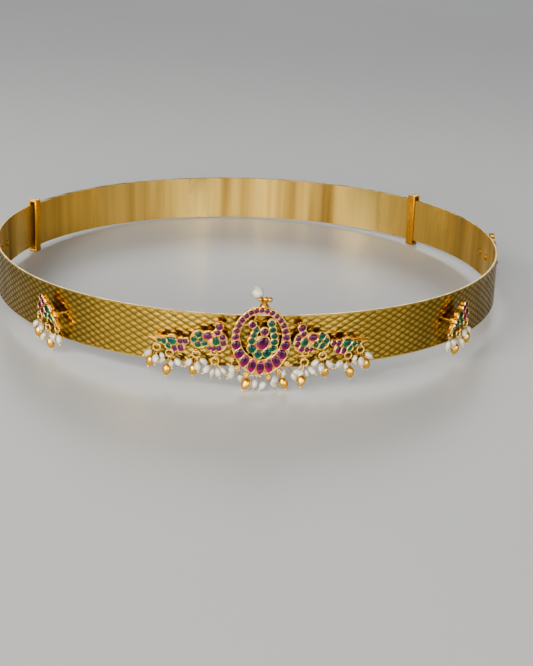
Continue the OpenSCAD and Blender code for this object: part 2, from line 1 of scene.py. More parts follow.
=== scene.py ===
"""Looks of the gilt waist belt: embossed strip, peacock medallion, stone-set sprays and bead drops.

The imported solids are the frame. Settings, keepers and pins are polished copies of their solids. The
strip, the stones and the beads are modelled where their solids lie. Thin walls, rim wires, granules and
a few more drops are added on them. Lengths are millimetres until a piece is placed.
"""
import math

import bmesh
import bpy
import numpy
from mathutils import Matrix, Vector, noise


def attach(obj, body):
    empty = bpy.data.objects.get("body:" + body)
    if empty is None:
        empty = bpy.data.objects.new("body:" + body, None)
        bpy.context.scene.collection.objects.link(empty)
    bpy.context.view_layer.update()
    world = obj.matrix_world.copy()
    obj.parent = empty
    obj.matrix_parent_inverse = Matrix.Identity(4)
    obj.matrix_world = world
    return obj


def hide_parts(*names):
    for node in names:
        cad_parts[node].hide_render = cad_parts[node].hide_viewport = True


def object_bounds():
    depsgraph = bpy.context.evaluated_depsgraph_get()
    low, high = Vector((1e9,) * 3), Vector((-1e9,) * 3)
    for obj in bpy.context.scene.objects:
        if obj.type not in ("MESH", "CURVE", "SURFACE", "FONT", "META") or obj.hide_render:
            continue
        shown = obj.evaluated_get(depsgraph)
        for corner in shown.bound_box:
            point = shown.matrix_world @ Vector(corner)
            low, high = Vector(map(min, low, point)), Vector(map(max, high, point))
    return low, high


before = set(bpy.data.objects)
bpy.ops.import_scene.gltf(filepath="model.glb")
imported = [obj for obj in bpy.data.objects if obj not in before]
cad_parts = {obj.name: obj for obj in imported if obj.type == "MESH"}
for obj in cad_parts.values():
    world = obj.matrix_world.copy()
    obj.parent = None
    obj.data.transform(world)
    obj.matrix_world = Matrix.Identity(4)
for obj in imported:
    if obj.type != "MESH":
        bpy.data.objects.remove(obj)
CAD_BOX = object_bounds()
MM = 0.001

# Loop and strip, as the solids have them
BAND_H = 25.0
BAND_T = 1.0
RIM_H = 0.8
FRONT_R = 130.0
SIDE_R = 155.0
SIDE_FROM = 57.0
SIDE_TO = 107.0
LAP = 1.5
LEFT_END = 114.0
RIGHT_END = 129.0
KEEPER_REACH = 2.7
KEEPER_OUT = 3.65
STAND_OFF = 3.2
SETTING_T = 2.0
POCKET_D = 1.2
DROP_REACH = 23.1
DROP_OUT = 7.0
BAND_MID = KEEPER_REACH + BAND_H / 2
FACE = STAND_OFF + SETTING_T
HANG_LEVEL = STAND_OFF + (SETTING_T - POCKET_D) / 2

# Places of the settings: turn from the centre front, in degrees
PEACOCK_AT = 9.8
LEAF_AT = 18.1
SIDE_AT = 47.0
REAR_AT = 95.0
SIDE_UP = 0.6
REAR_UP = 3.4
MEDAL_UP = 2.0
MEDAL_W = 26.7
MEDAL_H = 32.4

# Rosettes on the medallion's lower edge, by their turn from the bottom
ROSETTE_TURNS = (-60, -43, -25, 15.5, 35.5, 53.5)
ROSETTE_OUT = 1.9
ROSETTE_R = 1.15

# Wavy link under the medallion: its two ends, its waves and their height, and the wire's radius
LINK = ((-4.4, -17.0, 4.6), (0.4, -17.1, 4.6), 3, 0.35, 0.2)

# Rings and pins
RING_R = 1.75
RING_WIRE = 0.33
EYE_R = 0.56
EYE_WIRE = 0.17
PIN_R = 0.25
BALL_R = 0.55

# Middles of each setting's rings, in its own millimetres
SPRAY_RINGS = ((7.6, -4.6), (1.6, -8.8), (-5.6, -7.6))
RINGS = {"peacock": ((-6.3, -6.3), (2.4, -9.2)), "leaf": ((-5.6, -4.9), (0.6, -7.2)),
         "side": SPRAY_RINGS, "rear": SPRAY_RINGS}

# Drops that are added: [ring, turn round the ring, lean outwards, distance from the ring's middle]
SPRAY_DROPS = ((0, -32, 24, 5.4), (1, -46, 6, 5.6), (2, 25, 6, 5.6))
MORE_DROPS = {"peacock": ((1, 40, -6, 6.2),), "leaf": (), "side": SPRAY_DROPS, "rear": SPRAY_DROPS}
GOLD_DROPS = {"right_peacock": (1, 13, 24, 8.6)}

# Camera: fitted to the strip's edges in the photo. The focal length is in pixels of its frame.
PHOTO_LONG_SIDE = 666
FOCAL_PX = 1500
CAMERA_AT = (-38.3, -786.5, 268.1)
CAMERA_YAW = -3.63
CAMERA_PITCH = 20.46
CAMERA_ROLL = 2.33


# The belt's own coordinates

def sine(turn):
    return math.sin(math.radians(turn))


def cosine(turn):
    return math.cos(math.radians(turn))


BACK_R = SIDE_R + (FRONT_R - SIDE_R) * sine(SIDE_FROM) / sine(SIDE_TO)
STARTS = (0.0, SIDE_FROM, SIDE_TO)
LAP_SHARE = (sine(SIDE_FROM) * (cosine(SIDE_FROM) - cosine(SIDE_TO))
             - (sine(SIDE_TO) - sine(SIDE_FROM)) * (1 - cosine(SIDE_FROM)))
LAP_FRONT = LAP * (sine(SIDE_TO) * (cosine(SIDE_FROM) - cosine(SIDE_TO))
                   + (sine(SIDE_TO) - sine(SIDE_FROM)) * cosine(SIDE_TO)) / LAP_SHARE
LAP_SIDE = -LAP * (sine(SIDE_FROM) * cosine(SIDE_TO)
                   + (1 - cosine(SIDE_FROM)) * sine(SIDE_TO)) / LAP_SHARE
DEPTH = (FRONT_R + BACK_R - (FRONT_R - SIDE_R) * cosine(SIDE_FROM)
         - (SIDE_R - BACK_R) * cosine(SIDE_TO))
FRONT_Y = -DEPTH / 2


def outward(turn):
    return Vector((sine(turn), -cosine(turn)))


def radii(half):
    """Inside radii of the front, side and back stretches; the left half runs outside the right."""
    grown = (0.0, 0.0, 0.0) if half > 0 else (LAP_FRONT, LAP_SIDE, LAP)
    return [r + g for r, g in zip((FRONT_R, SIDE_R, BACK_R), grown)]


def centre(half, k):
    r = radii(half)
    at = Vector((0.0, FRONT_Y + r[0]))
    for i in range(k):
        at += (r[i] - r[i + 1]) * outward(STARTS[i + 1])
    return at


def on_strip(half, turn, out):
    """Point at a turn from the centre front, out from the strip's inner face."""
    k = sum(turn >= start for start in STARTS[1:])
    p = centre(half, k) + (radii(half)[k] + out) * outward(turn)
    return Vector((half * p.x, p.y))


def keeper_foot(half, turn):
    p = centre(1, 2) + (BACK_R + KEEPER_OUT) * outward(turn)
    return Vector((half * p.x, p.y, 0.0))


FOOT_LEFT = keeper_foot(-1, LEFT_END)
FOOT_RIGHT = keeper_foot(1, RIGHT_END)
FOOT_MID = (FOOT_LEFT + FOOT_RIGHT) / 2
FOOT_LINE = FOOT_RIGHT - FOOT_LEFT
FRONT_REACH = ((FOOT_LINE.x * (FOOT_MID.y - FRONT_Y + DROP_OUT) - FOOT_LINE.y * FOOT_MID.x)
               / FOOT_LINE.length)
LEAN = math.asin((DROP_REACH - BAND_MID) / FRONT_REACH)
SETTLE = (Matrix.Scale(MM, 4) @ Matrix.Translation(FOOT_MID)
          @ Matrix.Rotation(-LEAN, 4, FOOT_LINE) @ Matrix.Translation(-FOOT_MID))


def turned(turn, axis):
    return Matrix.Rotation(math.radians(turn), 4, axis)


def strip_point(half, turn, out, up):
    p = on_strip(half, turn, out)
    return SETTLE @ Vector((p.x, p.y, KEEPER_REACH + up))


def place(turn, mirrored=False, up=0.0):
    """Matrix of a setting's own millimetres: x along the strip, y up, z outwards."""
    half = -1 if turn < 0 else 1
    p = on_strip(half, abs(turn), BAND_T)
    flip = Matrix.Diagonal((-1 if mirrored else 1, 1, 1, 1))
    at = Matrix.Translation((p.x, p.y, BAND_MID + up))
    return SETTLE @ at @ turned(turn, "Z") @ turned(90, "X") @ flip


SETTINGS = {"medallion": place(0, up=MEDAL_UP)}
for side, half in (("left", -1), ("right", 1)):
    SETTINGS[side + "_peacock"] = place(half * PEACOCK_AT, half > 0)
    SETTINGS[side + "_leaf"] = place(half * LEAF_AT, half > 0)
    SETTINGS[side + "_side"] = place(half * SIDE_AT, half < 0, SIDE_UP)
    SETTINGS[side + "_rear"] = place(half * REAR_AT, half < 0, REAR_UP)


# Node trees

# Ranges that are stretched to a whole one: of the open air over a spot, for painted shade, and of the clouds
RECESS_ENDS = (0.25, 0.85)
RECESS_SAMPLES = 6
CLOUD_ENDS = (0.35, 0.7)
CLOUD_DETAIL = 4.0
GRAIN_DETAIL = 3.0

# Silky streaks in the paste stones
SILK_SCALE = 900.0
SILK_DETAIL = 2.0
SILK = 1.1

# Pearl skin
PEARL_CREAM = (0.40, 0.36, 0.28)
PEARL_WHITE = (0.66, 0.64, 0.57)
PEARL_CLOUDS = 420.0
PEARL_DETAIL = 3.0
PEARL_ENDS = (0.35, 0.65)
PEARL_ROUGH = (0.2, 0.4)
PEARL_SKIN_SCALE = 1500.0
PEARL_SKIN = 0.25


def add_node(tree, kind, inputs=None, **settings):
    made = tree.nodes.new(kind)
    for key, value in settings.items():
        setattr(made, key, value)
    for key, value in (inputs or {}).items():
        if isinstance(value, bpy.types.NodeSocket):
            tree.links.new(value, made.inputs[key])
        else:
            made.inputs[key].default_value = value
    return made


def new_group(name, inputs, outputs):
    group = bpy.data.node_groups.new(name, "ShaderNodeTree")
    for key, value in inputs.items():
        kind = "NodeSocketColor" if isinstance(value, tuple) else "NodeSocketFloat"
        socket = group.interface.new_socket(name=key, in_out="INPUT", socket_type=kind)
        socket.default_value = value
    for key, kind in outputs.items():
        group.interface.new_socket(name=key, in_out="OUTPUT", socket_type=kind)
    return group, group.nodes.new("NodeGroupInput").outputs, group.nodes.new("NodeGroupOutput")


def blend(tree, factor, a, b):
    """A colour between two."""
    mixed = add_node(tree, "ShaderNodeMix", {"Factor": factor, "A": a, "B": b}, data_type="RGBA")
    return mixed.outputs["Result"]


def spread(tree, value, ends, to_ends=(0.0, 1.0)):
    """A value whose range is stretched to another."""
    return add_node(tree, "ShaderNodeMapRange", {"Value": value, "From Min": ends[0], "From Max": ends[1],
                                                 "To Min": to_ends[0], "To Max": to_ends[1]}).outputs[0]


def maths(tree, operation, a, b, **settings):
    return add_node(tree, "ShaderNodeMath", {0: a, 1: b}, operation=operation, **settings).outputs[0]


def clouds_over(tree, vector, scale, detail):
    return add_node(tree, "ShaderNodeTexNoise",
                    {"Vector": vector, "Scale": scale, "Detail": detail}).outputs["Fac"]


def own_place(tree):
    return add_node(tree, "ShaderNodeTexCoord").outputs["Object"]


def tarnish_and_shade_group():
    """Gold with painted shade, darker and redder in its recesses and emboss grooves, and clouds that are
    tarnish, but painted reflection on the strip's inner face.
    """
    group, given, out = new_group(
        "tarnish_and_painted_shade",
        {"Metal": (0.8, 0.6, 0.2, 1), "Recess": (0.3, 0.15, 0.04, 1), "Reach": 0.6, "Groove Shade": 0.0,
         "Cloud": 0.1, "Scale": 300.0, "Upright": 1.0, "Roughness": 0.25},
        {"Color": "NodeSocketColor", "Roughness": "NodeSocketFloat"})
    reach = maths(group, "MULTIPLY", given["Reach"], MM)
    # Painted shade: the gold turns to its recess colour where ambient occlusion finds little open air
    open_air = add_node(group, "ShaderNodeAmbientOcclusion", {"Distance": reach}, samples=RECESS_SAMPLES)
    depth = spread(group, open_air.outputs["AO"], RECESS_ENDS)
    # Painted shade in the emboss's grooves, fading up the diamonds' bevelled sides
    shown = maths(group, "SUBTRACT", depth, given["Groove Shade"], use_clamp=True)
    base = blend(group, shown, given["Recess"], given["Metal"])
    drawn = add_node(group, "ShaderNodeCombineXYZ", {"X": 1.0, "Y": 1.0, "Z": given["Upright"]})
    spot = add_node(group, "ShaderNodeVectorMath", {0: own_place(group), 1: drawn.outputs[0]},
                    operation="MULTIPLY")
    # Clouds that pull the gold towards its recess colour: tarnish, and on the strip's inner face painted
    # reflection
    shade = spread(group, clouds_over(group, spot.outputs[0], given["Scale"], CLOUD_DETAIL), CLOUD_ENDS)
    cloud = maths(group, "MULTIPLY", shade, given["Cloud"])
    group.links.new(blend(group, cloud, base, given["Recess"]), out.inputs["Color"])
    group.links.new(maths(group, "ADD", cloud, given["Roughness"]), out.inputs["Roughness"])
    return group


def grain_group():
    """Fine scratches and casting grain, as a normal."""
    group, given, out = new_group(
        "grain", {"Scale": 2500.0, "Strength": 0.1, "Depth": 0.02}, {"Normal": "NodeSocketVector"})
    fine = clouds_over(group, own_place(group), given["Scale"], GRAIN_DETAIL)
    bump = add_node(group, "ShaderNodeBump", {"Height": fine, "Strength": given["Strength"],
                                              "Distance": maths(group, "MULTIPLY", given["Depth"], MM)})
    group.links.new(bump.outputs["Normal"], out.inputs["Normal"])
    return group


TARNISH_AND_SHADE = tarnish_and_shade_group()
GRAIN = grain_group()


def new_material(name, **values):
    material = bpy.data.materials.new(name)
    material.use_nodes = True
    shader = material.node_tree.nodes["Principled BSDF"]
    for key, value in values.items():
        shader.inputs[key.replace("_", " ")].default_value = value
    return material, material.node_tree, shader


def gold(name, metal, recess, rough, reach=0.6, cloud=0.12, scale=300.0, upright=1.0,
         grain=0.15, grain_scale=2500.0, grain_depth=0.02, groove_shaded=False):
    """One gilt finish."""
    material, tree, shader = new_material(name, Metallic=1.0)
    tone = add_node(tree, "ShaderNodeGroup",
                    {"Metal": metal + (1,), "Recess": recess + (1,), "Reach": reach, "Cloud": cloud,
                     "Scale": scale, "Upright": upright, "Roughness": rough}, node_tree=TARNISH_AND_SHADE)
    if groove_shaded:
        # The emboss's grooves take painted shade from their attribute
        groove_shade = add_node(tree, "ShaderNodeAttribute", attribute_name="groove_shade")
        tree.links.new(groove_shade.outputs["Fac"], tone.inputs["Groove Shade"])
    cast = add_node(tree, "ShaderNodeGroup",
                    {"Scale": grain_scale, "Strength": grain, "Depth": grain_depth}, node_tree=GRAIN)
    tree.links.new(tone.outputs["Color"], shader.inputs["Base Color"])
    tree.links.new(tone.outputs["Roughness"], shader.inputs["Roughness"])
    tree.links.new(cast.outputs["Normal"], shader.inputs["Normal"])
    return material


def stone(name, heart, rim):
    """A foiled cabochon: dark over its middle and bright where light gathers at its lower rim."""
    material, tree, shader = new_material(name, Roughness=0.07, IOR=1.45)
    glow = add_node(tree, "ShaderNodeAttribute", attribute_name="glow")
    silk = clouds_over(tree, own_place(tree), SILK_SCALE, SILK_DETAIL)
    mottle = add_node(tree, "ShaderNodeMath", {0: silk, 1: SILK, 2: -SILK / 2}, operation="MULTIPLY_ADD")
    lit = maths(tree, "ADD", glow.outputs["Fac"], mottle.outputs[0], use_clamp=True)
    tree.links.new(blend(tree, lit, heart + (1,), rim + (1,)), shader.inputs["Base Color"])
    return material


def pearl_finish():
    material, tree, shader = new_material("pearl_lustre", IOR=1.6, Coat_Weight=1.0, Coat_Roughness=0.06)
    clouds = clouds_over(tree, own_place(tree), PEARL_CLOUDS, PEARL_DETAIL)
    colour = blend(tree, spread(tree, clouds, PEARL_ENDS), PEARL_CREAM + (1,), PEARL_WHITE + (1,))
    skin = add_node(tree, "ShaderNodeGroup", {"Scale": PEARL_SKIN_SCALE, "Strength": PEARL_SKIN},
                    node_tree=GRAIN)
    tree.links.new(colour, shader.inputs["Base Color"])
    tree.links.new(spread(tree, clouds, (0.0, 1.0), PEARL_ROUGH), shader.inputs["Roughness"])
    tree.links.new(skin.outputs["Normal"], shader.inputs["Normal"])
    return material


# The strip's outer gold is darker than its inner gold: painted shade that dims what the emboss reflects
STRIP_OUTSIDE = gold("embossed_gilt", (0.60, 0.42, 0.10), (0.07, 0.03, 0.006), 0.13, reach=0.5, cloud=0.2,
                     scale=120.0, grain=0.1, groove_shaded=True)
# Its strong clouds, stretched upright, are painted reflection: tall dark bands that stand in for what the
# smooth inner face mirrors
STRIP_INSIDE = gold("smooth_gilt", (0.86, 0.62, 0.20), (0.10, 0.04, 0.008), 0.12, reach=0.3, cloud=0.95,
                    scale=32.0, upright=0.03, grain=0.04)
ANTIQUE = gold("antique_gilt", (0.85, 0.47, 0.09), (0.16, 0.05, 0.008), 0.22, reach=1.0, cloud=0.35,
               scale=900.0, grain=0.6, grain_scale=1400.0, grain_depth=0.06)
# Walls, wires, rings and pins take a lighter gold than the frames: a brighter gilt, and partly painted
# highlight so the walls' tops read as bright lines
BRIGHT = gold("collet_gilt", (0.98, 0.70, 0.26), (0.35, 0.15, 0.02), 0.26, reach=0.4, cloud=0.1)
SATIN = gold("satin_gilt", (0.95, 0.58, 0.12), (0.4, 0.18, 0.03), 0.26, cloud=0.12, grain=0.3)
RUBY = stone("ruby_paste", (0.03, 0.0, 0.024), (0.23, 0.006, 0.085))
EMERALD = stone("emerald_paste", (0.0, 0.018, 0.018), (0.0, 0.14, 0.045))
PEARL = pearl_finish()


# Pieces

# Doubles closer than this are merged, in metres, and faces flatter than this are joined, in degrees
MERGE = 1e-6
FLAT = 0.5
# Edges sharper than these stay sharp, in degrees
SMOOTH = 35
STRIP_SMOOTH = 30
BEAD_SMOOTH = 60
# Rounded edges: how far, over how many steps, and from what angle
KEEPER_ROUNDING = 0.15
ROUNDING_STEPS = 2
ROUNDED_FROM = 40


def deselect():
    if bpy.context.object and bpy.context.object.mode != "OBJECT":
        bpy.ops.object.mode_set(mode="OBJECT")
    bpy.ops.object.select_all(action="DESELECT")


def focus(piece):
    deselect()
    piece.select_set(True)
    bpy.context.view_layer.objects.active = piece


def edit(piece, kind="VERT"):
    """Opens a piece with all of it selected."""
    focus(piece)
    bpy.ops.object.mode_set(mode="EDIT")
    bpy.ops.mesh.select_mode(type=kind)
    bpy.ops.mesh.select_all(action="SELECT")


def close():
    """Leaves a mesh with its faces turned outwards."""
    bpy.ops.mesh.select_all(action="SELECT")
    bpy.ops.mesh.normals_make_consistent(inside=False)
    bpy.ops.object.mode_set(mode="OBJECT")


def smooth(piece, angle=SMOOTH):
    focus(piece)
    bpy.ops.object.shade_smooth_by_angle(angle=math.radians(angle))


def copy_of(form):
    """A copy with its own mesh, free of what the frame keeps on its solids."""
    piece = form.copy()
    piece.data = form.data.copy()
    for key in list(piece.keys()):
        del piece[key]
    piece.parent = None
    bpy.context.scene.collection.objects.link(piece)
    piece.hide_render = False
    piece.hide_viewport = False
    return piece


def moulded(form, shape):
    """A copy of a form, with each corner moved by a function to its place in metres."""
    piece = copy_of(form)
    for vertex in piece.data.vertices:
        vertex.co = shape(vertex.co)
    return piece


def joined(pieces):
    focus(pieces[0])
    for piece in pieces[1:]:
        piece.select_set(True)
    bpy.ops.object.join()
    return bpy.context.object


def finished(piece, name, slot, *materials, instead_of=()):
    """Names a piece, gives it its finish and lets it ride on the belt."""
    piece.name = name
    piece.data.name = name
    piece.data.materials.clear()
    for material in materials:
        piece.data.materials.append(material)
    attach(piece, "root")
    if instead_of:
        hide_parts(*instead_of)


def outside_out(piece, angle=SMOOTH):
    edit(piece)
    close()
    smooth(piece, angle)
    return piece


def loose_copy(node):
    """A copy of a solid's mesh, joined up and with its flat faces whole."""
    piece = copy_of(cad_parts[node])
    edit(piece)
    bpy.ops.mesh.remove_doubles(threshold=MERGE)
    bpy.ops.mesh.dissolve_limited(angle_limit=math.radians(FLAT))
    bpy.ops.object.mode_set(mode="OBJECT")
    return piece


def polished(node, slot, material, rounding=0.0):
    """The solid itself, with soft edges."""
    piece = loose_copy(node)
    if rounding:
        bevel = piece.modifiers.new("soft_edges", "BEVEL")
        bevel.width = rounding * MM
        bevel.segments = ROUNDING_STEPS
        bevel.limit_method = "ANGLE"
        bevel.angle_limit = math.radians(ROUNDED_FROM)
        bevel.use_clamp_overlap = True
        focus(piece)
        bpy.ops.object.modifier_apply(modifier=bevel.name)
    smooth(piece)
    finished(piece, node + "_polished", slot, material, instead_of=[node])


def solids_of(node):
    """The corner points of each loose solid in a node, in metres."""
    piece = loose_copy(node)
    parent = list(range(len(piece.data.vertices)))

    def root(i):
        while parent[i] != i:
            parent[i] = parent[parent[i]]
            i = parent[i]
        return i

    for edge in piece.data.edges:
        a, b = root(edge.vertices[0]), root(edge.vertices[1])
        parent[a] = b
    found = {}
    for i, vertex in enumerate(piece.data.vertices):
        found.setdefault(root(i), []).append(vertex.co.copy())
    bpy.data.objects.remove(piece)
    return list(found.values())


# Strip

# Emboss: a lattice of flat diamonds with bevelled sides, each a few mesh steps across
EMBOSS_W = 5.8
EMBOSS_H = 3.12
EMBOSS_D = 0.24
EMBOSS_STEPS = 6
EMBOSS_BEVEL = 0.6
# Strength of the painted shade in the emboss's grooves, which fades up the bevelled sides to the flat tops
GROOVE_SHADE = 1.0
# The strip's rounded corner, and the step from its plain rim to the emboss
CORNER = 0.15
RIM_STEP = 0.1
# A face is upright when its normal rises less than this
UPRIGHT = 0.5


def strip_rows():
    """Levels round the strip's section, from its inner lower corner: [height, out, on the field]."""
    edge = [(0.0, 0.0, False), (0.0, BAND_T - CORNER, False), (CORNER, BAND_T, False),
            (RIM_H - RIM_STEP, BAND_T, False)]
    field_h = BAND_H - 2 * RIM_H
    steps = round(field_h / EMBOSS_H * EMBOSS_STEPS)
    field = [(RIM_H + field_h * i / steps, BAND_T - EMBOSS_D, True) for i in range(steps + 1)]
    back = [(BAND_H - up, out, on_field) for up, out, on_field in reversed(edge)]
    return edge + field + back + edge[:1]


def diamond(column, row):
    """Height of the emboss at a step of its lattice, from 0 in the grooves to 1 on the diamonds' tops."""
    height = 1.0
    for across in (column + row, column - row):
        height *= min(1, abs(math.cos(math.pi * across / EMBOSS_STEPS)) / EMBOSS_BEVEL)
    return height


def half_strip(half, end):
    """Half of the strip: a grid wrapped round its section and along its stretches."""
    rows = strip_rows()
    runs = []
    for k, stop in enumerate((SIDE_FROM, SIDE_TO, end)):
        start = STARTS[k]
        runs.append((math.radians(stop - start) * (radii(half)[k] + BAND_T), start, stop))
    length = sum(run for run, _, _ in runs)
    columns = round(length / EMBOSS_W * EMBOSS_STEPS)

    def turn_at(along):
        for run, start, stop in runs:
            if along <= run or stop == end:
                return start + (stop - start) * along / run
            along -= run

    deselect()
    bpy.ops.mesh.primitive_grid_add(x_subdivisions=columns, y_subdivisions=len(rows) - 1, size=2)
    piece = bpy.context.object
    groove_shade = piece.data.attributes.new("groove_shade", "FLOAT", "POINT")
    for i, vertex in enumerate(piece.data.vertices):
        column = round((vertex.co.x + 1) / 2 * columns)
        row = round((vertex.co.y + 1) / 2 * (len(rows) - 1))
        up, out, on_field = rows[row]
        if on_field:
            height = diamond(column, row)
            # Painted shade: none on the flat tops, full in the grooves
            groove_shade.data[i].value = GROOVE_SHADE * (1 - height)
            out += EMBOSS_D * height
        vertex.co = strip_point(half, turn_at(column * length / columns), out, up)
    return piece


def make_strip():
    strip = joined([half_strip(1, 360 - LEFT_END), half_strip(-1, 360 - RIGHT_END)])
    edit(strip)
    bpy.ops.mesh.remove_doubles(threshold=MERGE)
    bpy.ops.mesh.select_all(action="DESELECT")
    bpy.ops.mesh.select_non_manifold()
    bpy.ops.mesh.fill_holes(sides=0)
    close()
    smooth(strip, STRIP_SMOOTH)
    finished(strip, "gilt_strip", "gilt_strip", STRIP_OUTSIDE, STRIP_INSIDE, instead_of=["band"])
    for face in strip.data.polygons:
        inward = face.center.xy.dot(face.normal.xy) < 0
        face.material_index = 1 if inward and abs(face.normal.z) < UPRIGHT else 0


# Stones and the walls round them

# Section of a cabochon: [share of the outline, level]. Level 0 is the setting's face and 1 the stone's top.
STONE_SIDES = 24
DOME = ((1.0, 0.08), (0.96, 0.36), (0.86, 0.62), (0.70, 0.82), (0.48, 0.94), (0.24, 0.99), (0.06, 1.0))
DOME_SKIRT = -0.6
STONE_GROW = 0.36
# The thin wall round a stone stands off its outline and sinks into the setting's face
WALL_W = 0.34
WALL_H = 0.66
WALL_OUT = 0.42
WALL_SINK = 0.12
WALL_SIDES = 8
# Points this close to a level are on it
ON_LEVEL = 0.02
# Glow of a stone: all over, towards its lower side and round its rim
GLOW = 0.05
GLOW_LOW = 0.45
GLOW_RIM = 0.35


def dome_form():
    """A cabochon of radius 1."""
    deselect()
    bpy.ops.mesh.primitive_circle_add(vertices=STONE_SIDES, radius=1, fill_type="NGON",
                                      location=(0, 0, DOME_SKIRT))
    piece = bpy.context.object
    bpy.ops.object.transform_apply()
    edit(piece)
    share, level = 1.0, DOME_SKIRT
    for next_share, next_level in DOME:
        bpy.ops.mesh.extrude_region_move(TRANSFORM_OT_translate={"value": (0, 0, next_level - level)})
        size = next_share / share
        bpy.ops.transform.resize(value=(size, size, 1), center_override=(0, 0, 0))
        share, level = next_share, next_level
    close()
    piece.data.attributes.new("glow", "FLOAT", "POINT")
    return piece


def wall_form():
    """A ring round radius 1; what lies past the radius is in millimetres."""
    deselect()
    bpy.ops.mesh.primitive_torus_add(major_segments=STONE_SIDES, minor_segments=WALL_SIDES,
                                     major_radius=1 + WALL_OUT, minor_radius=WALL_W / 2)
    piece = bpy.context.object
    edit(piece)
    bpy.ops.transform.resize(value=(1, 1, WALL_H / WALL_W), center_override=(0, 0, 0))
    bpy.ops.transform.translate(value=(0, 0, WALL_H / 2 - WALL_SINK))
    close()
    return piece


def outline_of(points, at):
    """A stone's outline in its setting's millimetres, its middle, and its highest level."""
    local = [at.inverted() @ p for p in points]
    low = min(p.z for p in local)
    base = [p.xy for p in local if p.z < low + ON_LEVEL]
    middle = sum(base, Vector((0, 0))) / len(base)
    base.sort(key=lambda p: math.atan2(p.y - middle.y, p.x - middle.x))
    return base, middle, max(p.z for p in local)


def rounded(outline, count):
    """Points of a smooth closed line through an outline."""
    n = len(outline)
    line = []
    for i in range(count):
        k, f = divmod(i * n / count, 1.0)
        a, b, c, d = (outline[(int(k) + j) % n] for j in (-1, 0, 1, 2))
        line.append(0.5 * (2 * b + (c - a) * f + (2 * a - 5 * b + 4 * c - d) * f ** 2
                           + (3 * b - a - 3 * c + d) * f ** 3))
    return line


def fit_round(line, middle, at, rise=1.0, grow=0.0):
    """A function that draws a form of radius 1 out to an outline, on a setting's face."""
    def shape(p):
        radius = math.hypot(p.x, p.y)
        edge = line[round(math.atan2(p.y, p.x) / math.tau * len(line)) % len(line)]
        away = edge - middle
        away += away.normalized() * grow
        spot = middle + away * min(radius, 1) + away.normalized() * max(radius - 1, 0)
        return at @ Vector((spot.x, spot.y, FACE + p.z * (rise if p.z > 0 else 1)))
    return shape


def glow_of(piece, at, middle, size):
    """Light gathers low on a domed stone, away from the lamp above it."""
    glow = piece.data.attributes["glow"]
    for i, vertex in enumerate(piece.data.vertices):
        p = at.inverted() @ vertex.co
        low = (middle.y - p.y) / size
        rim = (p.xy - middle).length / size
        glow.data[i].value = GLOW + GLOW_LOW * low + GLOW_RIM * rim ** 3


def set_stones(setting, nodes):
    """The cabochons of some nodes, each in its thin wall."""
    at = SETTINGS[setting]
    walls = []
    for node in nodes:
        ruby = "rubies" in node
        stones = []
        for points in solids_of(node):
            outline, middle, top = outline_of(points, at)
            line = rounded(outline, STONE_SIDES)
            size = min((p - middle).length for p in line)
            piece = moulded(DOME_FORM, fit_round(line, middle, at, top - FACE, STONE_GROW))
            glow_of(piece, at, middle, size)
            stones.append(piece)
            walls.append(moulded(WALL_FORM, fit_round(line, middle, at)))
        finished(outside_out(joined(stones)), node + "_cut", "ruby" if ruby else "emerald",
                 RUBY if ruby else EMERALD, instead_of=[node])
    finished(outside_out(joined(walls)), setting + "_walls", "antique_gold", BRIGHT)


# Beads

# Added beads, and how uneven and tapered all beads are, as shares of their width
PEARL_L = 4.2
PEARL_D = 2.9
PEARL_UNEVEN = 0.08
TOP_PEARL_UNEVEN = 0.03
GOLD_BEAD_L = 5.4
GOLD_BEAD_D = 3.9
GOLD_TAPER = 0.12
GOLD_UNEVEN = 0.02
BEAD_GROW = 1.08
LUMP_SCALE = 1.1
# Facets of the forms
BEAD_SIDES = 20
BEAD_RINGS = 12
RING_SIDES = 28
WIRE_SIDES = 8
PIN_SIDES = 10


def bead_form():
    deselect()
    bpy.ops.mesh.primitive_uv_sphere_add(segments=BEAD_SIDES, ring_count=BEAD_RINGS, radius=1)
    return bpy.context.object


def torus_form(radius, wire, upright=False):
    deselect()
    bpy.ops.mesh.primitive_torus_add(major_segments=RING_SIDES, minor_segments=WIRE_SIDES,
                                     major_radius=radius, minor_radius=wire,
                                     rotation=(0, math.radians(90 if upright else 0), 0))
    piece = bpy.context.object
    bpy.ops.object.transform_apply()
    return piece


def shaft_form():
    """A pin's shaft, from level 0 to 1."""
    deselect()
    bpy.ops.mesh.primitive_cylinder_add(vertices=PIN_SIDES, radius=PIN_R, depth=1, location=(0, 0, 0.5))
    piece = bpy.context.object
    bpy.ops.object.transform_apply()
    return piece


def bead_spot(points):
    """A bead's middle, the way its hole runs down, and its length and width, in metres."""
    cloud = numpy.array([tuple(p) for p in points])
    middle = cloud.mean(0)
    way = numpy.linalg.eigh(numpy.cov((cloud - middle).T))[1][:, 2]
    if way[2] > 0:
        way = -way
    along = (cloud - middle) @ way
    across = numpy.linalg.norm(cloud - middle - numpy.outer(along, way), axis=1)
    middle = middle + way * (along.max() + along.min()) / 2
    return Vector(middle), Vector(way), along.max() - along.min(), 2 * across.max()


def fit_bead(middle, way, length, width, taper=0.0, uneven=0.0, grow=1.0):
    """A function that shapes a ball of radius 1 into a bead on a pin."""
    turn = way.to_track_quat("Z", "Y").to_matrix()
    seed = middle / MM

    def shape(p):
        swell = 1 + uneven * noise.noise(p * LUMP_SCALE + seed)
        narrow = 1 - taper * p.z
        across = grow * width / 2 * narrow * swell
        return middle + turn @ Vector((p.x * across, p.y * across, p.z * grow * length / 2))
    return shape


def set_beads(node, name, slot, material, *shape):
    """Rounder beads in place of a node's; shape is taper, uneven and grow of fit_bead."""
    beads = [moulded(BEAD_FORM, fit_bead(*bead_spot(points), *shape)) for points in solids_of(node)]
    finished(outside_out(joined(beads), BEAD_SMOOTH), name, slot, material, instead_of=[node])


# Wires and granules

